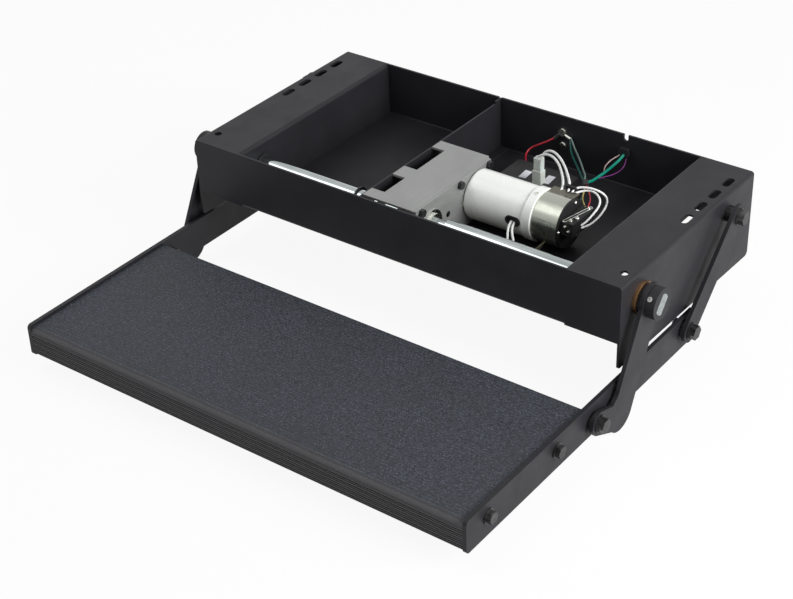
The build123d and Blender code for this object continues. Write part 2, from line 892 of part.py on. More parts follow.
def tread_pivot_nuts():
    return group([
        both_sides(pivot_nut(place, rail_in_x)) for place in (front_pivot, rear_pivot)
    ])


# Tread
def right_rail():
    side = outline(
        (rail_front_y, rail_top), (rail_rear_y, rail_top), (rail_rear_y, rail_bottom + rail_rear_cut_z),
        (rail_rear_y - rail_rear_cut_y, rail_bottom), (rail_front_y, rail_bottom),
    )
    for corner in ((rail_front_y, rail_top), (rail_front_y, rail_bottom), (rail_rear_y, rail_top)):
        side = rounded(side, corner, rail_corner)
    body = slab_x(side, rail_in_x, rail_out_x)
    for place in (front_pivot, rear_pivot):
        body -= rod(rail_in_x, rail_out_x, place, pivot_thread / 2)
    for y in tread_bolt_ys:
        body -= rod(rail_in_x, rail_out_x, (y, tread_bolt_z), tread_bolt_thread / 2)
    return body


def tread_pan():
    """Folded sheet under the tread cover, open underneath."""
    front = rail_front_y + cover_thickness
    top = tread_top - cover_thickness
    bend = cover_nose_radius - cover_thickness
    outer = rectangle(front, tread_rear_y, pan_front_bottom, top)
    outer = rounded(outer, (front, top), bend)
    outer = rounded(outer, (tread_rear_y, top), pan_rear_bend)
    inner = rectangle(front + pan_sheet, tread_rear_y - pan_sheet, pan_front_bottom, top - pan_sheet)
    inner = rounded(inner, (front + pan_sheet, top - pan_sheet), bend - pan_sheet)
    body = slab_x(outer, -rail_in_x, rail_in_x)
    body -= slab_x(inner, -rail_in_x + pan_sheet, rail_in_x - pan_sheet)
    body -= block(
        -rail_in_x, rail_in_x, front + pan_sheet, tread_rear_y, pan_front_bottom, pan_end_bottom,
    )
    body -= block(
        -rail_in_x, rail_in_x, tread_rear_y - pan_sheet, tread_rear_y,
        pan_front_bottom, pan_rear_bottom,
    )
    for y in tread_bolt_ys:
        body -= rod(-rail_in_x, rail_in_x, (y, tread_bolt_z), tread_bolt_thread / 2)
    return body


def tread_cover():
    """Anti-slip cover: flat top, rounded nose and a grooved front."""
    bottom = cover_front_bottom
    outer = rectangle(rail_front_y, tread_rear_y, bottom, tread_top)
    outer = rounded(outer, (rail_front_y, tread_top), cover_nose_radius)
    inner_front = rail_front_y + cover_thickness
    inner_top = tread_top - cover_thickness
    inner = rectangle(inner_front, tread_rear_y, bottom, inner_top)
    inner = rounded(inner, (inner_front, inner_top), cover_nose_radius - cover_thickness)
    section = outer - inner
    first = tread_top - cover_nose_radius
    step = (first - bottom) / groove_count
    for index in range(groove_count):
        z = first - (index + 0.5) * step
        section -= rectangle(
            rail_front_y, rail_front_y + groove_depth, z - groove_width / 2, z + groove_width / 2
        )
    return slab_x(section, -rail_in_x, rail_in_x)


def tread_bolts():
    bolts = []
    flange_end = rail_out_x + tread_bolt_flange
    nut_x = rail_in_x - pan_sheet - tread_nut_height
    for y in tread_bolt_ys:
        place = (y, tread_bolt_z)
        body = rod(nut_x, rail_out_x, place, tread_bolt_thread / 2)
        body += rod(rail_out_x, flange_end, place, tread_bolt_flange_radius)
        body += hexagon(flange_end, flange_end + tread_bolt_head, place, tread_bolt_hex)
        bolts.append(both_sides(body))
    return group(bolts)


def tread_nuts():
    nuts = []
    face_x = rail_in_x - pan_sheet
    for y in tread_bolt_ys:
        place = (y, tread_bolt_z)
        nut = hexagon(face_x - tread_nut_height, face_x, place, tread_bolt_hex)
        nut -= rod(face_x - tread_nut_height, face_x, place, tread_bolt_thread / 2)
        nuts.append(both_sides(nut))
    return group(nuts)


# Control module, connector and fittings
def control_module():
    body = block(*module_x, *module_y, floor_z, floor_z + module_height)
    return fillet(body.edges().filter_by(Axis.Z), module_corner)


def connector_half(width, depth, z0, z1):
    half_w, half_d = width / 2, depth / 2
    body = block(
        connector_x - half_w, connector_x + half_w, connector_y - half_d, connector_y + half_d, z0, z1,
    )
    return fillet(body.edges().filter_by(Axis.Z), connector_corner)


def connector_plug():
    return connector_half(plug_width, plug_depth, connector_joint_z, connector_top_z)


def connector_socket():
    module_top = floor_z + module_height
    return connector_half(socket_width, socket_depth, module_top, connector_joint_z)


def wall_screws():
    screws = []
    for (x, z), layers in zip(wall_screw_places, wall_screw_layers):
        head_y = back_in_y - layers * terminal_thickness
        shank = slab_y(Pos(x, z) * Circle(wall_screw_thread / 2), head_y, back_y)
        head = slab_y(Pos(x, z) * Circle(wall_screw_head_radius), head_y - wall_screw_head, head_y)
        screws.append(shank + head)
    return group(screws)


def ring_terminals():
    """Two crimp terminals stacked under the upper wall screw and a washer under the lower one."""
    (x, z), washer_at = wall_screw_places
    hole = Circle(wall_screw_thread / 2)
    washer = Pos(*washer_at) * (Circle(terminal_ring_radius) - hole)
    pieces = [slab_y(washer, back_in_y - terminal_thickness, back_in_y)]
    reach = terminal_ring_radius + barrel_length
    half = tongue_width / 2
    for layer, angle in enumerate(barrel_angles):
        face_y = back_in_y - layer * terminal_thickness
        tongue = Rot(0, 0, angle) * rectangle(0, reach, -half, half)
        ring = Pos(x, z) * (Circle(terminal_ring_radius) + tongue - hole)
        flat = slab_y(ring, face_y - terminal_thickness, face_y)
        barrel = rod(terminal_ring_radius, reach, (0, 0), barrel_radius)
        pieces.append(flat + Pos(x, face_y - barrel_radius, z) * Rot(0, -angle, 0) * barrel)
    return group(pieces)


def harness_clip():
    """Black clip on the back wall where the harness comes in."""
    body = block(
        large_notch_x - clip_width / 2, large_notch_x + clip_width / 2,
        back_in_y - clip_depth, back_in_y, clip_z - clip_height / 2, clip_z + clip_height / 2,
    )
    return fillet(body.edges().filter_by(Axis.Y), clip_corner)


def harness_sleeve():
    x, y, z = sleeve_centre
    body = fillet(Box(*sleeve_size).edges().filter_by(Axis.X), sleeve_corner)
    return Pos(x, y, z) * Rot(0, 0, sleeve_turn) * body


# Leads: hand-chosen points and diameters
leads = {
    "motor_lead_a": (3.2, [
        (143, 130, -10), (141.5, 136, -6.8), (134.8, 147.2, -5.2), (123.9, 160.4, -4.6),
        (110.3, 175.7, -4.2), (95.9, 189.2, -4), (81.5, 199, -4.2), (72.6, 201.8, -5.5),
        (66, 201.5, -9), (62.6, 200, -14.5), (61.4, 198.6, -21),
    ]),
    "motor_lead_b": (3.2, [
        (134, 128, -10), (132.8, 134.6, -7.7), (129, 141.6, -6.9), (121.5, 153.3, -6.4),
        (110.8, 166.8, -6.2), (98.5, 180.3, -6), (84.2, 191.4, -6.2), (73.2, 195.5, -7.6),
        (65, 195.6, -11), (59.6, 195.2, -15.2), (56.6, 196.2, -21),
    ]),
    "red_lead": (2.4, [
        (33.4, 277.2, -31.6), (26, 272, -36.8), (14.6, 268, -43.4), (5, 265, -49),
        (1.6, 259.5, -54), (4.5, 251.5, -56.5), (10.5, 244, -57.4), (13.5, 237.5, -58.2),
        (14.5, 232.5, -59),
    ]),
    "green_lead": (2.6, [
        (56.2, 276.4, -28.3), (60, 271.4, -33), (65.5, 263.6, -36.2), (74, 253.9, -36.9),
        (83, 243.9, -36.2), (94, 231.5, -34), (104.6, 218.9, -31.6), (114.8, 206.4, -28.6),
        (124.5, 194.3, -25), (132, 183.9, -21.8), (138.4, 174.5, -18.6),
    ]),
    "grey_lead": (2.4, [
        (57.1, 276.4, -25.6), (61.8, 273.4, -29.6), (67.9, 267.4, -32.2), (76.5, 258.9, -33),
        (86.2, 248.4, -32.6), (96.8, 236, -31), (107, 223, -28.8), (116, 211.4, -26.2),
        (124.6, 200.2, -23), (132, 187.6, -19.4), (138.7, 174.7, -15.6),
    ]),
    "teal_lead": (3.6, [
        (136.3, 274.5, -24.5), (135.8, 266, -28), (134.6, 254, -30.2), (134.9, 240, -30.6),
        (136, 222, -29), (138, 202, -25.6), (140.5, 188, -21.6), (141.4, 176.6, -17.5),
    ]),
    "outer_loop_lead": (2.6, [
        (147.2, 132, -9.2), (147.5, 137.3, -6.4), (150.9, 141.9, -5), (157, 145.4, -4.7),
        (164.5, 148.8, -5.4), (172, 152.2, -7.8), (178.4, 155.6, -12.5), (181.6, 157.6, -19),
        (182.3, 154.8, -26), (182.4, 146.5, -31.2), (182.3, 136.6, -34), (182, 123.8, -34.8),
        (180.6, 111.9, -34.3), (177.4, 104.7, -34),
    ]),
    "inner_loop_lead": (2.6, [
        (150.8, 132.4, -9.2), (151.7, 138.5, -9.6), (155.4, 144, -9.4), (161.4, 148, -8.8),
        (168, 149.2, -9.3), (174.8, 147.3, -11.3), (179.8, 143.7, -14.5), (182, 138.9, -17.5),
        (182.4, 132.8, -20.5), (182, 125.6, -23.2), (181.2, 117.6, -26), (180.2, 110, -28.4),
        (177.4, 104.2, -30.4),
    ]),
    "grommet_lead_a": (3.0, [
        (95.9, 82, -38.6), (96.2, 75.5, -40.5), (98, 69.5, -45), (101, 64, -51.3),
        (104.5, 59.5, -58), (109, 56.5, -64.5), (117, 55.5, -68.3), (126, 59, -69),
        (133, 69, -67.5), (137, 80, -63), (138, 90, -57.5),
    ]),
    "grommet_lead_b": (3.0, [
        (99.7, 82, -39.2), (100.8, 75.5, -41), (103.6, 69.5, -45.2), (108, 64.5, -50.4),
        (113, 60.5, -56.5), (119, 58.5, -62), (127, 62, -65.5), (134, 71, -63), (139, 81, -58),
        (142, 90, -52.5),
    ]),
}
arc_share = 0.45


def lead(name):
    """Round tube of straight runs joined by the largest arcs that the runs allow."""
    diameter, points = leads[name]
    places = [Vector(*point) for point in points]
    radii = []
    for before, corner, after in zip(places, places[1:], places[2:]):
        one, two = corner - before, after - corner
        half_turn = math.radians(one.get_angle(two)) / 2
        radii.append(arc_share * min(one.length, two.length) / math.tan(half_turn))
    path = FilletPolyline(*places, radius=radii)
    section = Plane(origin=path @ 0, z_dir=path % 0) * Circle(diameter / 2)
    body = sweep(section, path=path)
    expected = math.pi * diameter**2 / 4 * path.length
    print(
        f"{name}: length {path.length:.1f}, volume ratio {body.volume / expected:.4f},",
        "radii", " ".join(f"{radius:.1f}" for radius in radii),
    )
    return body


nodes = {
    "tray": tray,
    "left_channel": lambda: mirrored(right_channel()),
    "right_channel": right_channel,
    "divider": divider,
    "gear_cover": gear_cover,
    "motor_plate": motor_plate,
    "plate_bolts": plate_bolts,
    "shaft_boss": shaft_boss,
    "gear_pins": gear_pins,
    "outer_bushes": lambda: both_sides(outer_bush()),
    "inner_bushes": lambda: both_sides(inner_bush()),
    "thrust_washers": lambda: both_sides(thrust_washer()),
    "rear_pivot_bolts": rear_pivot_bolts,
    "rear_pivot_spacers": rear_pivot_spacers,
    "rear_pivot_nuts": rear_pivot_nuts,
    "motor_can": motor_can,
    "brush_housing": brush_housing,
    "motor_end_plate": motor_end_plate,
    "motor_magnets": motor_magnets,
    "motor_bearings": motor_bearings,
    "wire_grommet": wire_grommet,
    "connector_plug": connector_plug,
    "connector_socket": connector_socket,
    "control_module": control_module,
    "wall_screws": wall_screws,
    "ring_terminals": ring_terminals,
    "harness_clip": harness_clip,
    "harness_sleeve": harness_sleeve,
    "drive_shaft": drive_shaft,
    "drive_gear": drive_gear,
    "retaining_ring": retaining_ring,
    "arm_collars": arm_collars,
    "collar_screws": collar_screws,
    "left_front_arm": lambda: mirrored(right_front_arm()),
    "right_front_arm": right_front_arm,
    "tread_pan": tread_pan,
    "tread_cover": tread_cover,
    "left_rail": lambda: mirrored(right_rail()),
    "right_rail": right_rail,
    "tread_bolts": tread_bolts,
    "tread_nuts": tread_nuts,
    "tread_pivot_bolts": tread_pivot_bolts,
    "tread_pivot_spacers": tread_pivot_spacers,
    "tread_pivot_nuts": tread_pivot_nuts,
    "left_rear_arm": lambda: mirrored(right_rear_arm()),
    "right_rear_arm": right_rear_arm,
    "second_gear": second_gear,
    "first_gear": first_gear,
    "motor_shaft": motor_shaft,
    "armature": armature,
}

os.makedirs("parts", exist_ok=True)
for name, make in nodes.items():
    export_step(make(), f"parts/{name}.step")
for name in leads:
    export_step(lead(name), f"parts/{name}.step")
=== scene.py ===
import json
import math

import bmesh
import bpy
from mathutils import Matrix, Vector


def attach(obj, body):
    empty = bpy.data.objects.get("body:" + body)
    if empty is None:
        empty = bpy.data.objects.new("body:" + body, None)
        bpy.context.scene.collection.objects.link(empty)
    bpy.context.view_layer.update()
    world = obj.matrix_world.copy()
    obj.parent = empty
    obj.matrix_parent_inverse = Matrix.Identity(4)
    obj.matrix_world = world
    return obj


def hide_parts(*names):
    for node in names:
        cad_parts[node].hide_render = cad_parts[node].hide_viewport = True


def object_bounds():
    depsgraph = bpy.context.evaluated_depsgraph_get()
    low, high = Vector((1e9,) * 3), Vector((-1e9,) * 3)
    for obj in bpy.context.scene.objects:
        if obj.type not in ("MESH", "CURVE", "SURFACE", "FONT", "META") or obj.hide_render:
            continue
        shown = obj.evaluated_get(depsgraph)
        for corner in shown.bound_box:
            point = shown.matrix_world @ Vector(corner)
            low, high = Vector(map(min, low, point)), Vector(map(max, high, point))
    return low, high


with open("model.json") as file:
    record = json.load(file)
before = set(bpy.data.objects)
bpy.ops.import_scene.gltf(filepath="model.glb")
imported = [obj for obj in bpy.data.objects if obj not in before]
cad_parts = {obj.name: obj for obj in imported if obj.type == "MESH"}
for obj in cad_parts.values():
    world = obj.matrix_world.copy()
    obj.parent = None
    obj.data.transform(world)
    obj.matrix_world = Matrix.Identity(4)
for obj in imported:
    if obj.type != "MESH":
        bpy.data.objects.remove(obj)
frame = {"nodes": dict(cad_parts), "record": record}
cad_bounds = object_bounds()
cad_nodes = frame["nodes"]


def metres(point):
    return Vector(point) / 1000


# Shader helpers
def add_node(tree, kind, inputs=None, **settings):
    """A shader node with its settings and its inputs, which are values or sockets."""
    made = tree.nodes.new("ShaderNode" + kind)
    for name, value in settings.items():
        setattr(made, name, value)
    for name, value in (inputs or {}).items():
        if isinstance(value, bpy.types.NodeSocket):
            tree.links.new(value, made.inputs[name])
        else:
            made.inputs[name].default_value = value
    return made


def new_tree(name):
    material = bpy.data.materials.new(name)
    material.use_nodes = True
    material.node_tree.nodes.clear()
    return material, material.node_tree


def noise(tree, place, scale, detail=3.0, roughness=0.6):
    made = add_node(
        tree, "TexNoise",
        {"Vector": place, "Scale": scale, "Detail": detail, "Roughness": roughness},
    )
    return made.outputs["Fac"]


def stretched(tree, place, scale):
    return add_node(tree, "Mapping", {"Vector": place, "Scale": scale}).outputs["Vector"]


def between(tree, value, low, high, start, end):
    """Maps a value from low..high to start..end."""
    made = add_node(
        tree, "MapRange",
        {"Value": value, "From Min": low, "From Max": high, "To Min": start, "To Max": end},
    )
    return made.outputs["Result"]


def mixed(tree, factor, first, second):
    """Mixes two colours, which are triples or sockets."""
    made = add_node(tree, "Mix", data_type="RGBA")
    factor_socket, first_socket, second_socket = (made.inputs[index] for index in (0, 6, 7))
    colour_output = made.outputs[2]
    for socket, value in ((factor_socket, factor), (first_socket, first), (second_socket, second)):
        if isinstance(value, bpy.types.NodeSocket):
            tree.links.new(value, socket)
        elif socket is factor_socket:
            socket.default_value = value
        else:
            socket.default_value = (*value, 1)
    return colour_output


def bump(tree, height, distance, normal=None):
    inputs = {"Height": height, "Strength": 1.0, "Distance": distance}
    if normal is not None:
        inputs["Normal"] = normal
    return add_node(tree, "Bump", inputs).outputs["Normal"]


def edge_mask(tree, radius, low=0.80, high=0.99):
    """Bright along convex and concave edges, from the shader's own bevel."""
    soft = add_node(tree, "Bevel", {"Radius": radius}, samples=4).outputs["Normal"]
    flat = add_node(tree, "NewGeometry").outputs["Normal"]
    same = add_node(tree, "VectorMath", {0: soft, 1: flat}, operation="DOT_PRODUCT")
    return between(tree, same.outputs["Value"], low, high, 1.0, 0.0)


def finished(tree, **inputs):
    """Ends a material in one principled shader."""
    names = {key.replace("_", " "): value for key, value in inputs.items()}
    shader = add_node(tree, "BsdfPrincipled", names)
    add_node(tree, "OutputMaterial", {"Surface": shader.outputs["BSDF"]})
    return shader


def object_place(tree):
    return add_node(tree, "TexCoord").outputs["Object"]


# Where a finish, or the light and shade painted on it, changes on its piece, in metres
can_darkening_from_z, can_darkening_full_z = -0.030, -0.060
case_painted_shade_from_z, case_painted_shade_full_z = -0.047, -0.054
case_flat_y, case_flat_z = (0.1150, 0.1165), (-0.0112, -0.0100)
sleeve_top_z, sleeve_full_z = -0.0520, -0.0535
rib_fade_y, rib_full_y = -0.300, -0.3315
nose_painted_light_from_y, nose_painted_light_full_y = -0.322, -0.331


# Materials
def powder_coat(name, dark, light, worn, rough=(0.38, 0.52), level=0.18, peel=0.00003):
    """Satin powder coat with orange peel, handling marks and rubbed edges."""
    material, tree = new_tree(name)
    place = object_place(tree)
    cloud = noise(tree, place, 9.0, 4.0)
    speck = noise(tree, place, 700.0, 2.0)
    colour = mixed(tree, between(tree, cloud, 0.3, 0.7, 0, 1), dark, light)
    colour = mixed(tree, between(tree, speck, 0.62, 0.78, 0, 0.25), colour, worn)
    rubbed = add_node(
        tree, "Math", {0: edge_mask(tree, 0.0009), 1: between(tree, cloud, 0.35, 0.65, 0.15, 0.6)},
        operation="MULTIPLY",
    ).outputs[0]
    colour = mixed(tree, rubbed, colour, worn)
    normal = bump(tree, noise(tree, place, 520.0, 2.0), peel)
    normal = bump(tree, noise(tree, place, 1500.0, 1.0), peel / 2, normal)
    finished(
        tree, Base_Color=colour, Normal=normal, Specular_IOR_Level=level,
        Roughness=between(tree, noise(tree, place, 22.0), 0.3, 0.7, *rough),
    )
    return material


def plated(name, dark, light, rough=(0.22, 0.38), along=(8, 300, 300), grain=0.00002, blotch=16.0,
           tarnish=None, metallic=1.0):
    """Plated or brushed metal with drawn lines and uneven gloss."""
    material, tree = new_tree(name)
    place = object_place(tree)
    lines = noise(tree, stretched(tree, place, along), 1.0, 4.0)
    cloud = noise(tree, place, blotch, 3.0)
    colour = mixed(tree, between(tree, lines, 0.35, 0.65, 0, 1), dark, light)
    if tarnish:
        colour = mixed(tree, between(tree, cloud, 0.45, 0.75, 0, 0.7), colour, tarnish)
    normal = bump(tree, lines, grain)
    normal = bump(tree, noise(tree, place, 900.0, 2.0), grain / 2, normal)
    finished(
        tree, Base_Color=colour, Metallic=metallic, Normal=normal,
        Roughness=between(tree, add_node(
            tree, "Math", {0: lines, 1: cloud}, operation="ADD",
        ).outputs[0], 0.7, 1.3, *rough),
    )
    return material


def moulded(name, dark, light, rough=(0.4, 0.6), level=0.45, grain=0.00002, scale=800.0,
            **more):
    """Moulded plastic, rubber or wire jacket."""
    material, tree = new_tree(name)
    place = object_place(tree)
    cloud = noise(tree, place, 40.0, 3.0)
    colour = mixed(tree, between(tree, cloud, 0.3, 0.7, 0, 1), dark, light)
    normal = bump(tree, noise(tree, place, scale, 2.0), grain)
    finished(
        tree, Base_Color=colour, Normal=normal, Specular_IOR_Level=level,
        Roughness=between(tree, noise(tree, place, 65.0), 0.3, 0.7, *rough), **more,
    )
    return material


def enamel(name):
    """White enamel on the motor's can, darker and browner in patches towards its lower side."""
    material, tree = new_tree(name)
    place = object_place(tree)
    height = add_node(tree, "SeparateXYZ", {"Vector": place}).outputs["Z"]
    cloud = noise(tree, place, 24.0, 4.0)
    low = between(tree, height, can_darkening_full_z, can_darkening_from_z, 1, 0)
    darkened_low = add_node(tree, "Math", {0: low, 1: cloud}, operation="MULTIPLY").outputs[0]
    colour = mixed(tree, cloud, (0.91, 0.92, 0.90), (0.86, 0.88, 0.85))
    # Patches on the lower side of the can are mixed towards a darker brown.
    colour = mixed(tree, darkened_low, colour, (0.42, 0.40, 0.33))
    normal = bump(tree, noise(tree, place, 260.0, 2.0), 0.00006)
    finished(
        tree, Base_Color=colour, Normal=normal, Specular_IOR_Level=0.5,
        Roughness=between(tree, cloud, 0.3, 0.7, 0.20, 0.34),
    )
    return material


def grit(name):
    """Blue-grey anti-slip sheet: coarse grains, bright sparks, ribs across it with painted shade in their
    grooves, and painted light on its nose.
    """
    material, tree = new_tree(name)
    place = object_place(tree)
    grains = noise(tree, place, 420.0, 3.0, 0.8)
    sparks = add_node(
        tree, "TexVoronoi", {"Vector": place, "Scale": 330.0}, feature="F1",
    ).outputs["Distance"]
    cloud = noise(tree, place, 11.0, 3.0)
    spread = add_node(
        tree, "VectorMath", {0: place, 1: (0, 1, -1)}, operation="DOT_PRODUCT",
    ).outputs["Value"]
    wander = between(tree, noise(tree, place, 30.0, 2.0), 0.0, 1.0, -0.0004, 0.0004)
    line = add_node(tree, "Math", {0: spread, 1: wander}, operation="ADD").outputs[0]
    ribs = add_node(
        tree, "TexWave", {"Vector": add_node(tree, "CombineXYZ", {"X": line}).outputs[0],
                          "Scale": 66.0, "Distortion": 0.0},
        wave_type="BANDS", bands_direction="X", wave_profile="SIN",
    ).outputs["Fac"]
    depth = add_node(tree, "SeparateXYZ", {"Vector": place}).outputs["Y"]
    front = between(tree, depth, rib_fade_y, rib_full_y, 0.22, 0.6)
    nose = between(tree, depth, nose_painted_light_from_y, nose_painted_light_full_y, 0, 0.8)
    colour = mixed(
        tree, between(tree, grains, 0.38, 0.62, 0, 1), (0.0095, 0.0106, 0.0138), (0.061, 0.068, 0.088),
    )
    colour = mixed(
        tree, between(tree, cloud, 0.35, 0.65, 0, 0.4), colour, (0.026, 0.030, 0.033),
    )
    colour = mixed(
        tree, between(tree, sparks, 0.05, 0.30, 0.75, 0), colour, (0.16, 0.185, 0.215),
    )
    # Painted light: the nose, a front face that gets less light, is mixed towards a lighter grey so that it
    # reads as bright as the top.
    colour = mixed(tree, nose, colour, (0.085, 0.082, 0.085))
    # Painted shade: the rib grooves are darkened, more strongly towards the front edge.
    shade = add_node(
        tree, "Math", {0: between(tree, ribs, 0.15, 0.6, 1, 0), 1: front}, operation="MULTIPLY",
    ).outputs[0]
    colour = mixed(tree, shade, colour, (0.020, 0.020, 0.022))
    normal = bump(tree, grains, 0.0005)
    normal = bump(tree, ribs, 0.0003, normal)
    finished(
        tree, Base_Color=colour, Normal=normal, Specular_IOR_Level=0.3,
        Roughness=between(tree, grains, 0.3, 0.7, 0.5, 0.8),
    )
    return material


def drawn_case(name):
    """Drawn steel motor case: bright body, an olive flat on top darkened with painted shade, and painted
    shade on its lower side.
    """
    material, tree = new_tree(name)
    place = object_place(tree)
    axes = add_node(tree, "SeparateXYZ", {"Vector": place}).outputs
    lines = noise(tree, stretched(tree, place, (10, 160, 160)), 1.0, 3.0)
    cloud = noise(tree, place, 60.0, 3.0)
    colour = mixed(tree, between(tree, lines, 0.3, 0.7, 0, 1), (0.32, 0.335, 0.29), (0.42, 0.435, 0.38))
    # Painted shade: the lower side of the case is mixed towards a dark blue-grey, standing for the dark
    # reflection beneath it.
    low = between(tree, axes["Z"], case_painted_shade_from_z, case_painted_shade_full_z, 0, 0.4)
    colour = mixed(tree, low, colour, (0.17, 0.18, 0.19))
    # Partly painted shade: the top flat has an olive tint and is darkened much further, standing for the
    # shade of a recessed opening that the mesh lacks.
    flat = add_node(
        tree, "Math", {
            0: between(tree, axes["Y"], *case_flat_y, 0, 1),
            1: between(tree, axes["Z"], *case_flat_z, 0, 0.8),
        }, operation="MULTIPLY",
    ).outputs[0]
    colour = mixed(tree, flat, colour, (0.075, 0.066, 0.042))
    normal = bump(tree, lines, 0.00001)
    normal = bump(tree, noise(tree, place, 900.0, 2.0), 0.000006, normal)
    finished(
        tree, Base_Color=colour, Metallic=0.9, Normal=normal,
        Roughness=between(tree, cloud, 0.3, 0.7, 0.22, 0.36),
    )
    return material


def part_sleeved(name):
    """White jacket whose lower run sits in an olive woven sleeve."""
    material, tree = new_tree(name)
    place = object_place(tree)
    height = add_node(tree, "SeparateXYZ", {"Vector": place}).outputs["Z"]
    weave = noise(tree, place, 1400.0, 2.0)
    olive = mixed(tree, between(tree, weave, 0.35, 0.65, 0, 1), (0.030, 0.026, 0.012), (0.075, 0.066, 0.036))
    covered = between(tree, height, sleeve_top_z, sleeve_full_z, 0, 1)
    colour = mixed(tree, covered, (0.78, 0.79, 0.78), olive)
    finished(
        tree, Base_Color=colour, Normal=bump(tree, weave, 0.00003), Specular_IOR_Level=0.35,
        Roughness=between(tree, noise(tree, place, 65.0), 0.3, 0.7, 0.32, 0.5),
    )
    return material


finishes = {
    "black_coat": powder_coat(
        "black powder coat", (0.0150, 0.0150, 0.0175), (0.0205, 0.0205, 0.0240), (0.058, 0.058, 0.064),
    ),
    "zinc_plate": plated(
        "matt zinc sheet", (0.285, 0.290, 0.285), (0.312, 0.317, 0.312), (0.50, 0.62),
        (320, 14, 320), 0.000006, 14.0, (0.25, 0.254, 0.25), 0.6,
    ),
    "bright_steel": plated(
        "bright plated steel", (0.56, 0.57, 0.54), (0.82, 0.84, 0.80), (0.14, 0.30),
        (14, 420, 420), 0.00003, 30.0, (0.44, 0.44, 0.38),
    ),
    "zinc_rod": plated(
        "bright zinc rod", (0.30, 0.33, 0.33), (0.54, 0.58, 0.58), (0.05, 0.10),
        (5, 260, 260), 0.000004, 20.0, (0.28, 0.31, 0.31),
    ),
    "zinc_bolt": plated(
        "worn dark plating", (0.030, 0.030, 0.032), (0.075, 0.075, 0.078), (0.32, 0.5),
        (60, 260, 260), 0.00003, 60.0, (0.16, 0.155, 0.15), 0.85,
    ),
    "dark_bolt": plated(
        "black oxide", (0.018, 0.018, 0.020), (0.045, 0.045, 0.048), (0.28, 0.45),
        (90, 260, 260), 0.00003, 70.0, (0.09, 0.09, 0.09), 0.8,
    ),
    "bronze": plated(
        "sintered bronze", (0.42, 0.22, 0.10), (0.60, 0.36, 0.18), (0.28, 0.45),
        (500, 60, 60), 0.00002, 50.0, (0.20, 0.10, 0.05),
    ),
    "magnet": moulded("ferrite magnet", (0.05, 0.05, 0.052), (0.08, 0.08, 0.08), (0.6, 0.8)),
    "motor_enamel": enamel("white motor enamel"),
    "black_plastic": moulded(
        "black moulding", (0.008, 0.008, 0.009), (0.015, 0.015, 0.016), (0.5, 0.7), 0.25,
    ),
    "module_case": moulded(
        "module case", (0.012, 0.012, 0.013), (0.022, 0.022, 0.023), (0.42, 0.6), 0.4, 0.00005, 600.0,
    ),
    "grommet_rubber": moulded(
        "black rubber", (0.009, 0.009, 0.009), (0.018, 0.018, 0.018), (0.55, 0.75), 0.3,
    ),
    "nylon": moulded(
        "natural nylon", (0.74, 0.79, 0.74), (0.86, 0.90, 0.85), (0.28, 0.45), 0.5, 0.00003, 500.0,
        Transmission_Weight=0.25, Subsurface_Weight=0.15, Subsurface_Scale=0.002,
    ),
    "white_wire": moulded("white jacket", (0.74, 0.75, 0.74), (0.84, 0.85, 0.84), (0.28, 0.42)),
    "red_wire": moulded("red jacket", (0.30, 0.006, 0.018), (0.46, 0.015, 0.032), (0.28, 0.42)),
    "green_wire": moulded("dark green jacket", (0.0, 0.060, 0.050), (0.004, 0.105, 0.085), (0.28, 0.42)),
    "grey_wire": moulded("grey green jacket", (0.10, 0.15, 0.14), (0.17, 0.23, 0.21), (0.28, 0.42)),
    "teal_wire": moulded("teal jacket", (0.0, 0.17, 0.12), (0.004, 0.26, 0.18), (0.28, 0.42)),
    "gear_steel": plated(
        "machined gear steel", (0.30, 0.30, 0.30), (0.46, 0.46, 0.45), (0.25, 0.42),
        (420, 40, 40), 0.00003, 40.0, (0.16, 0.13, 0.09),
    ),
    "armature_steel": plated(
        "varnished laminations", (0.18, 0.13, 0.10), (0.34, 0.26, 0.20), (0.3, 0.5),
        (900, 30, 30), 0.00005, 40.0,
    ),
    "tread_grit": grit("anti-slip grit"),
}
purple_wire = moulded("purple jacket", (0.13, 0.02, 0.14), (0.22, 0.05, 0.22), (0.28, 0.42))
pink_wire = moulded("pale pink jacket", (0.62, 0.45, 0.42), (0.74, 0.58, 0.54), (0.28, 0.42))
yellow_wire = moulded("yellow jacket", (0.55, 0.42, 0.10), (0.70, 0.56, 0.18), (0.28, 0.42))
motor_case = drawn_case("drawn motor case")
sleeved_wire = part_sleeved("white jacket in an olive sleeve")
label_paper = moulded("blank white label", (0.66, 0.67, 0.72), (0.78, 0.79, 0.83), (0.4, 0.6))

for part in frame["record"]["subparts"]:
    for holder in cad_nodes[part["node"]].material_slots:
        holder.material = finishes[part["material_slot"]]
for node, finish in (
    ("brush_housing", motor_case), ("thrust_washers", finishes["bronze"]),
    ("collar_screws", finishes["gear_steel"]),
):
    for holder in cad_nodes[node].material_slots:
        holder.material = finish


# Mesh helpers
def piece_from(name, mesh_builder, material, body, smooth=35):
    """A new object from a function that fills a bmesh, riding on a body."""
    mesh = bpy.data.meshes.new(name)
    shape = bmesh.new()
    mesh_builder(shape)
    bmesh.ops.recalc_face_normals(shape, faces=shape.faces)
    shape.to_mesh(mesh)
    shape.free()
    made = bpy.data.objects.new(name, mesh)
    bpy.context.scene.collection.objects.link(made)
    mesh.materials.append(material)
    mesh.set_sharp_from_angle(angle=math.radians(smooth))
    for face in mesh.polygons:
        face.use_smooth = True
    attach(made, body)
    return made


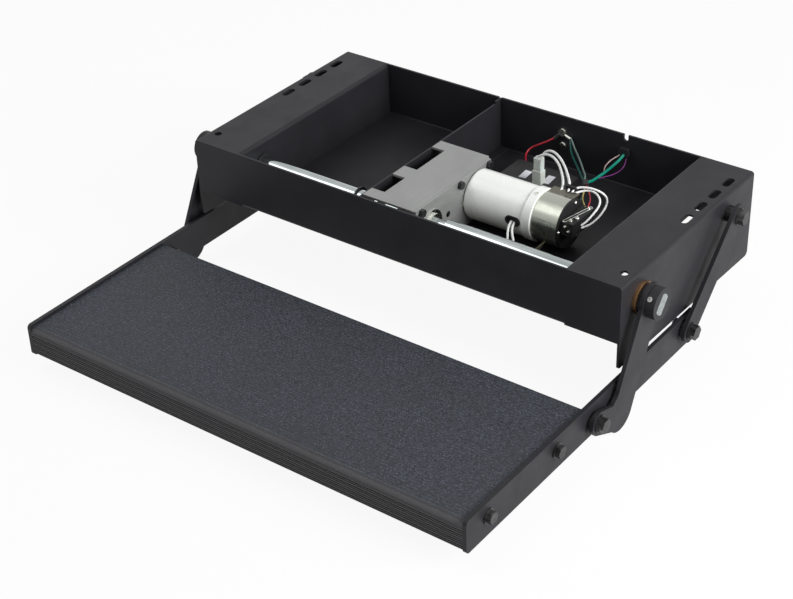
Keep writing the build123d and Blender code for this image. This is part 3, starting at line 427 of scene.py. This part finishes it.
def lathe(shape, profile, place, steps=32):
    """Turns (radius, height) points about the local Z axis of place."""
    rings = []
    for radius, height in profile:
        if radius == 0:
            rings.append([shape.verts.new(place @ Vector((0, 0, height)))])
            continue
        ring = []
        for index in range(steps):
            angle = 2 * math.pi * index / steps
            local = Vector((radius * math.cos(angle), radius * math.sin(angle), height))
            ring.append(shape.verts.new(place @ local))
        rings.append(ring)
    for lower, upper in zip(rings, rings[1:]):
        for index in range(steps):
            following = (index + 1) % steps
            corners = [lower[index % len(lower)], lower[following % len(lower)]]
            corners += [upper[following % len(upper)], upper[index % len(upper)]]
            unique = list(dict.fromkeys(corners))
            if len(unique) > 2:
                shape.faces.new(unique)


def prism(shape, points, low, high, place):
    """A prism over a closed outline in the local XY plane of place."""
    bottom = [shape.verts.new(place @ Vector((x, y, low))) for x, y in points]
    top = [shape.verts.new(place @ Vector((x, y, high))) for x, y in points]
    shape.faces.new(list(reversed(bottom)))
    shape.faces.new(top)
    for index in range(len(points)):
        following = (index + 1) % len(points)
        shape.faces.new((bottom[index], bottom[following], top[following], top[index]))


def obround(half_length, radius, steps):
    """The outline of a long round-ended slot along X, with its half circles in steps."""
    outline = []
    for side, first in ((1, -90), (-1, 90)):
        for index in range(steps + 1):
            angle = math.radians(first + 180 / steps * index)
            outline.append((
                side * half_length + radius * math.cos(angle), radius * math.sin(angle),
            ))
    return outline


def frame_at(origin, z_axis, x_axis=(1, 0, 0)):
    """A matrix in metres whose local Z and X follow the given directions."""
    z = Vector(z_axis).normalized()
    y = z.cross(Vector(x_axis)).normalized()
    x = y.cross(z)
    matrix = Matrix((x, y, z)).transposed().to_4x4()
    matrix.translation = metres(origin)
    return matrix


def cross_recess_head(shape, place, radius, height):
    """A domed screw head with a cross recess."""
    radius, height = radius / 1000, height / 1000
    lathe(shape, [
        (radius * 0.98, -height * 0.1), (radius, height * 0.15), (radius * 0.97, height * 0.45),
        (radius * 0.84, height * 0.80), (radius * 0.62, height * 0.97), (radius * 0.45, height),
        (0, height),
    ], place, 28)
    arm, width = radius * 0.52, radius * 0.12
    cross = [
        (-width, -arm), (width, -arm), (width, -width), (arm, -width), (arm, width),
        (width, width), (width, arm), (-width, arm), (-width, width), (-arm, width),
        (-arm, -width), (-width, -width),
    ]
    prism(shape, cross, height * 0.99, height * 1.02, place)


# Leads: the routes in the source, in millimetres
leads = {
    "motor_lead_a": (3.2, 124.3, "white_wire", [
        (143, 130, -10), (141.5, 136, -6.8), (134.8, 147.2, -5.2), (123.9, 160.4, -4.6),
        (110.3, 175.7, -4.2), (95.9, 189.2, -4), (81.5, 199, -4.2), (72.6, 201.8, -5.5),
        (66, 201.5, -9), (62.6, 200, -14.5), (61.4, 198.6, -21),
    ]),
    "motor_lead_b": (3.2, 116.0, "white_wire", [
        (134, 128, -10), (132.8, 134.6, -7.7), (129, 141.6, -6.9), (121.5, 153.3, -6.4),
        (110.8, 166.8, -6.2), (98.5, 180.3, -6), (84.2, 191.4, -6.2), (73.2, 195.5, -7.6),
        (65, 195.6, -11), (59.6, 195.2, -15.2), (56.6, 196.2, -21),
    ]),
    "red_lead": (2.4, 73.7, "red_wire", [
        (33.4, 277.2, -31.6), (26, 272, -36.8), (14.6, 268, -43.4), (5, 265, -49),
        (1.6, 259.5, -54), (4.5, 251.5, -56.5), (10.5, 244, -57.4), (13.5, 237.5, -58.2),
        (14.5, 232.5, -59),
    ]),
    "green_lead": (2.6, 134.8, "green_wire", [
        (56.2, 276.4, -28.3), (60, 271.4, -33), (65.5, 263.6, -36.2), (74, 253.9, -36.9),
        (83, 243.9, -36.2), (94, 231.5, -34), (104.6, 218.9, -31.6), (114.8, 206.4, -28.6),
        (124.5, 194.3, -25), (132, 183.9, -21.8), (138.4, 174.5, -18.6),
    ]),
    "grey_lead": (2.4, 134.5, "grey_wire", [
        (57.1, 276.4, -25.6), (61.8, 273.4, -29.6), (67.9, 267.4, -32.2), (76.5, 258.9, -33),
        (86.2, 248.4, -32.6), (96.8, 236, -31), (107, 223, -28.8), (116, 211.4, -26.2),
        (124.6, 200.2, -23), (132, 187.6, -19.4), (138.7, 174.7, -15.6),
    ]),
    "teal_lead": (3.6, 100.7, "teal_wire", [
        (136.3, 274.5, -24.5), (135.8, 266, -28), (134.6, 254, -30.2), (134.9, 240, -30.6),
        (136, 222, -29), (138, 202, -25.6), (140.5, 188, -21.6), (141.4, 176.6, -17.5),
    ]),
    "outer_loop_lead": (2.6, 110.8, "white_wire", [
        (147.2, 132, -9.2), (147.5, 137.3, -6.4), (150.9, 141.9, -5), (157, 145.4, -4.7),
        (164.5, 148.8, -5.4), (172, 152.2, -7.8), (178.4, 155.6, -12.5), (181.6, 157.6, -19),
        (182.3, 154.8, -26), (182.4, 146.5, -31.2), (182.3, 136.6, -34), (182, 123.8, -34.8),
        (180.6, 111.9, -34.3), (177.4, 104.7, -34),
    ]),
    "inner_loop_lead": (2.6, 84.1, "white_wire", [
        (150.8, 132.4, -9.2), (151.7, 138.5, -9.6), (155.4, 144, -9.4), (161.4, 148, -8.8),
        (168, 149.2, -9.3), (174.8, 147.3, -11.3), (179.8, 143.7, -14.5), (182, 138.9, -17.5),
        (182.4, 132.8, -20.5), (182, 125.6, -23.2), (181.2, 117.6, -26), (180.2, 110, -28.4),
        (177.4, 104.2, -30.4),
    ]),
    "grommet_lead_a": (3.0, 94.2, "white_wire", [
        (95.9, 82, -38.6), (96.2, 75.5, -40.5), (98, 69.5, -45), (101, 64, -51.3),
        (104.5, 59.5, -58), (109, 56.5, -64.5), (117, 55.5, -68.3), (126, 59, -69),
        (133, 69, -67.5), (137, 80, -63), (138, 90, -57.5),
    ]),
    "grommet_lead_b": (3.0, 83.4, "white_wire", [
        (99.7, 82, -39.2), (100.8, 75.5, -41), (103.6, 69.5, -45.2), (108, 64.5, -50.4),
        (113, 60.5, -56.5), (119, 58.5, -62), (127, 62, -65.5), (134, 71, -63), (139, 81, -58),
        (142, 90, -52.5),
    ]),
}


def wire(name, diameter, points, material):
    """One smooth round wire through the route's control points."""
    line = bpy.data.curves.new(name, "CURVE")
    line.dimensions = "3D"
    line.bevel_depth = diameter / 2000
    line.bevel_resolution = 5
    line.resolution_u = 10
    line.use_fill_caps = True
    spline = line.splines.new("NURBS")
    spline.points.add(len(points) - 1)
    for control, point in zip(spline.points, points):
        control.co = (*metres(point), 1)
    spline.order_u = 3
    spline.use_endpoint_u = True
    line.materials.append(material)
    made = bpy.data.objects.new(name, line)
    bpy.context.scene.collection.objects.link(made)
    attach(made, "housing")
    return made


for name, (diameter, length, slot_name, points) in leads.items():
    jacket = sleeved_wire if name.startswith("grommet") else finishes[slot_name]
    lead = wire(name + "_jacket", diameter, points, jacket)
    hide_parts(name)

# Thin wires that only the picture shows
thin_wires = {
    "purple_wire": (1.3, 65.9, purple_wire, [
        (139, 275.5, -28), (143, 267.5, -32), (144, 256.5, -36), (142, 241.5, -36),
        (139, 226.5, -33.5), (137, 213, -29.8),
    ]),
    "pink_wire": (1.5, 54.9, pink_wire, [
        (133, 275, -25), (126, 269.5, -30), (121, 262.5, -35), (121, 253.5, -38),
        (128, 240.5, -36.5), (134.3, 232, -32.4),
    ]),
    "red_stub_wire": (1.7, 44.9, finishes["red_wire"], [
        (146.4, 167.3, -16.2), (152.5, 162.5, -18.6), (160.9, 152.5, -19.8),
        (167.6, 141.5, -19.4), (170.4, 131, -21.4),
    ]),
    "yellow_stub_wire": (1.5, 44.2, yellow_wire, [
        (145.4, 167.4, -17.4), (148.4, 157, -22.4), (152.5, 148.6, -24), (160.1, 138.9, -22.2),
        (167.2, 131, -21.6),
    ]),
    "green_stub_wire": (1.7, 33.5, finishes["green_wire"], [
        (145, 168.6, -18), (146.6, 160, -22.6), (148.4, 152.6, -26.8), (149.6, 146.2, -29.4),
        (150, 138.6, -31.6),
    ]),
}


for name, (diameter, length, material, points) in thin_wires.items():
    thin = wire(name, diameter, points, material)


# Motor end: screws in the disc, studs and a bright clip on the terminal block
disc_x = 160
block_top = -21
block_front_y = 85.87
disc_screw_places = ((119.8, -12.8), (82.9, -35.7), (125.5, -59.9))
disc_screw_radius, disc_screw_height = 2.7, 2.0
rim_screw_place, rim_screw_axis = (117.5, 102.4, -5.3), (0, -0.25, 0.97)
rim_screw_radius, rim_screw_height = 2.6, 1.2
top_stud_places = ((171.3, 91.3), (175.0, 100.4), (174.6, 127.0))
front_stud_places = ((168.0, -25.5), (172.5, -31.0))


def end_screws(shape):
    """Three screws in the disc, each with its cross at another angle, and one in the rim."""
    for y, z in disc_screw_places:
        place = frame_at((disc_x, y, z), (1, 0, 0), (0, 1, 0)) @ Matrix.Rotation(y, 4, "Z")
        cross_recess_head(shape, place, disc_screw_radius, disc_screw_height)
    place = frame_at(rim_screw_place, rim_screw_axis)
    cross_recess_head(shape, place, rim_screw_radius, rim_screw_height)


piece_from("end_screws", end_screws, finishes["bright_steel"], "housing")


def stud(shape, place):
    """A hexagon nut with the end of its stud."""
    nut_radius, nut_height = 0.0026, 0.0018
    stud_radius, stud_height, chamfer = 0.0013, 0.0038, 0.0004
    hexagon = [
        (nut_radius * math.cos(math.pi * side / 3), nut_radius * math.sin(math.pi * side / 3))
        for side in range(6)
    ]
    prism(shape, hexagon, -0.0002, nut_height, place)
    lathe(shape, [
        (stud_radius, 0.0015), (stud_radius, stud_height - chamfer),
        (stud_radius - chamfer, stud_height), (0, stud_height),
    ], place, 16)


def terminal_studs(shape):
    for x, y in top_stud_places:
        stud(shape, frame_at((x, y, block_top), (0, 0, 1)))
    for x, z in front_stud_places:
        stud(shape, frame_at((x, block_front_y, z), (0, -1, 0)))


piece_from("terminal_studs", terminal_studs, finishes["bright_steel"], "housing")


def terminal_clip(shape):
    """Bent wire clip that lies on the block: a closed obround with a round section."""
    start, end = Vector((164.8, 88.5)), Vector((174.5, 131.5))
    along = (end - start).normalized()
    across = Vector((-along.y, along.x))
    half_width, wire_radius, lift, sides = 2.0, 0.55, 0.4, 10
    middle_line = []
    for centre, first in ((end, -90), (start, 90)):
        for step in range(13):
            angle = math.radians(first + 15 * step)
            outward = along * math.cos(angle) + across * math.sin(angle)
            middle_line.append((centre + outward * half_width, outward))
    rings = []
    for place, outward in middle_line:
        ring = []
        for index in range(sides):
            angle = 2 * math.pi * index / sides
            flat = place + outward * wire_radius * math.cos(angle)
            height = block_top + lift + wire_radius * math.sin(angle)
            ring.append(shape.verts.new(metres((flat.x, flat.y, height))))
        rings.append(ring)
    for ring, following in zip(rings, rings[1:] + rings[:1]):
        for index in range(sides):
            other = (index + 1) % sides
            shape.faces.new((ring[index], ring[other], following[other], following[index]))


piece_from("terminal_clip", terminal_clip, finishes["bright_steel"], "housing")


# Labels, cable tie and grommet plug
module_top_z = -53
label_corners = (
    ((29.8, 196.5), (39.6, 197.4), (37.9, 216.2), (28.1, 216.2)),
    ((61.9, 199.3), (71.8, 200.7), (70.0, 221.0), (60.2, 220.4)),
)


def module_labels(shape):
    for corners in label_corners:
        flat = [(x / 1000, y / 1000) for x, y in corners]
        prism(shape, flat, -0.0001, 0.0002, Matrix.Translation(metres((0, 0, module_top_z))))


piece_from("module_labels", module_labels, label_paper, "housing")


def cable_tie(shape):
    """Strap and lock round the leads where they leave the motor."""
    strap_place, lock_place = (144.4, 137.2, -6.6), (139.2, 137.2, -4.6)
    strap_half_width, lock_half_depth = 0.0016, 0.0022
    half_x, half_z = 0.0024, 0.0018
    strap = obround(0.0032, 0.0033, 8)
    lock = [(-half_x, -half_z), (half_x, -half_z), (half_x, half_z), (-half_x, half_z)]
    prism(shape, strap, -strap_half_width, strap_half_width, frame_at(strap_place, (0, 1, 0)))
    prism(shape, lock, -lock_half_depth, lock_half_depth, frame_at(lock_place, (0, 1, 0)))


piece_from("cable_tie", cable_tie, finishes["black_plastic"], "housing")


def grommet_plug(shape):
    """Rubber web that closes the grommet round its two leads."""
    plug_place, plug_thickness = (98.5, 79.9, -37.5), 0.0012
    prism(shape, obround(0.0045, 0.0048, 12), -plug_thickness, 0, frame_at(plug_place, (0, -1, 0)))


piece_from("grommet_plug", grommet_plug, finishes["grommet_rubber"], "housing")

# Camera at the photograph's place
camera_place = (1.085759, -1.431962, 1.030240)
camera_lens = 79.506
azimuth, elevation, roll = (math.radians(value) for value in (37.67, 33.122, -2.011))
back = Vector((
    math.sin(azimuth) * math.cos(elevation), -math.cos(azimuth) * math.cos(elevation),
    math.sin(elevation),
))
level_right = Vector((0, 0, 1)).cross(back).normalized()
level_up = back.cross(level_right)
camera_x = math.cos(roll) * level_right + math.sin(roll) * level_up
camera_y = -math.sin(roll) * level_right + math.cos(roll) * level_up
camera_data = bpy.data.cameras.new("camera")
camera_data.lens = camera_lens
camera_data.sensor_width = 36
camera_data.sensor_fit = "HORIZONTAL"
camera_data.clip_end = 50
camera = bpy.data.objects.new("camera", camera_data)
camera.matrix_world = Matrix.Translation(camera_place) @ (
    Matrix((camera_x, camera_y, back)).transposed().to_4x4()
)
bpy.context.scene.collection.objects.link(camera)
bpy.context.scene.camera = camera


# Floor, world and lamps
floor_whiteness = 0.92
floor_reach = 12
floor_z = cad_bounds[0].z - 0.0005
ambient_strength = 0.385


def seen_directly(tree):
    """One where a camera, mirror or glass ray arrives, and zero for the light on the object."""
    rays = add_node(tree, "LightPath").outputs
    seen = add_node(
        tree, "Math", {0: rays["Is Camera Ray"], 1: rays["Is Glossy Ray"]}, operation="MAXIMUM",
    ).outputs[0]
    return add_node(
        tree, "Math", {0: seen, 1: rays["Is Transmission Ray"]}, operation="MAXIMUM",
    ).outputs[0]


floor_material, floor_tree = new_tree("pale floor")
floor_colour = mixed(
    floor_tree, noise(floor_tree, object_place(floor_tree), 6.0), (0.80, 0.80, 0.80),
    (0.84, 0.84, 0.84),
)
floor_matt = add_node(floor_tree, "BsdfDiffuse", {"Color": floor_colour})
floor_white = add_node(floor_tree, "Emission", {"Color": (1, 1, 1, 1), "Strength": 1.0})
floor_share = add_node(
    floor_tree, "Math", {0: seen_directly(floor_tree), 1: floor_whiteness}, operation="MULTIPLY",
)
floor_mix = add_node(
    floor_tree, "MixShader", {
        0: floor_share.outputs[0], 1: floor_matt.outputs[0], 2: floor_white.outputs[0],
    },
)
add_node(floor_tree, "OutputMaterial", {"Surface": floor_mix.outputs[0]})
floor_mesh = bpy.data.meshes.new("floor")
floor_corners = [
    (x * floor_reach, y * floor_reach, floor_z) for x, y in ((-1, -1), (1, -1), (1, 1), (-1, 1))
]
floor_mesh.from_pydata(floor_corners, [], [(0, 1, 2, 3)])
floor_mesh.materials.append(floor_material)
floor = bpy.data.objects.new("floor", floor_mesh)
bpy.context.scene.collection.objects.link(floor)

world = bpy.data.worlds.new("studio")
world.use_nodes = True
world.node_tree.nodes.clear()
ambient = add_node(
    world.node_tree, "Background", {"Color": (1, 1, 1, 1), "Strength": ambient_strength},
)
backdrop = add_node(world.node_tree, "Background", {"Color": (1, 1, 1, 1), "Strength": 1.0})
sky = add_node(world.node_tree, "MixShader", {
    0: seen_directly(world.node_tree), 1: ambient.outputs[0], 2: backdrop.outputs[0],
})
add_node(world.node_tree, "OutputWorld", {"Surface": sky.outputs[0]})
bpy.context.scene.world = world


def lamp(name, place, target, size, power):
    data = bpy.data.lights.new(name, "AREA")
    data.shape = "RECTANGLE"
    data.size, data.size_y = size
    data.energy = power
    made = bpy.data.objects.new(name, data)
    made.location = place
    made.rotation_euler = (Vector(target) - Vector(place)).to_track_quat("-Z", "Y").to_euler()
    bpy.context.scene.collection.objects.link(made)
    return made


lamp("right_key", (2.0, 0.2, 0.9), (0, 0.05, -0.05), (1.2, 1.0), 54)
lamp("left_fill", (-1.0, -0.62, 1.75), (0.1, 0, -0.04), (1.6, 0.9), 10)
bpy.context.scene.view_settings.view_transform = "Standard"
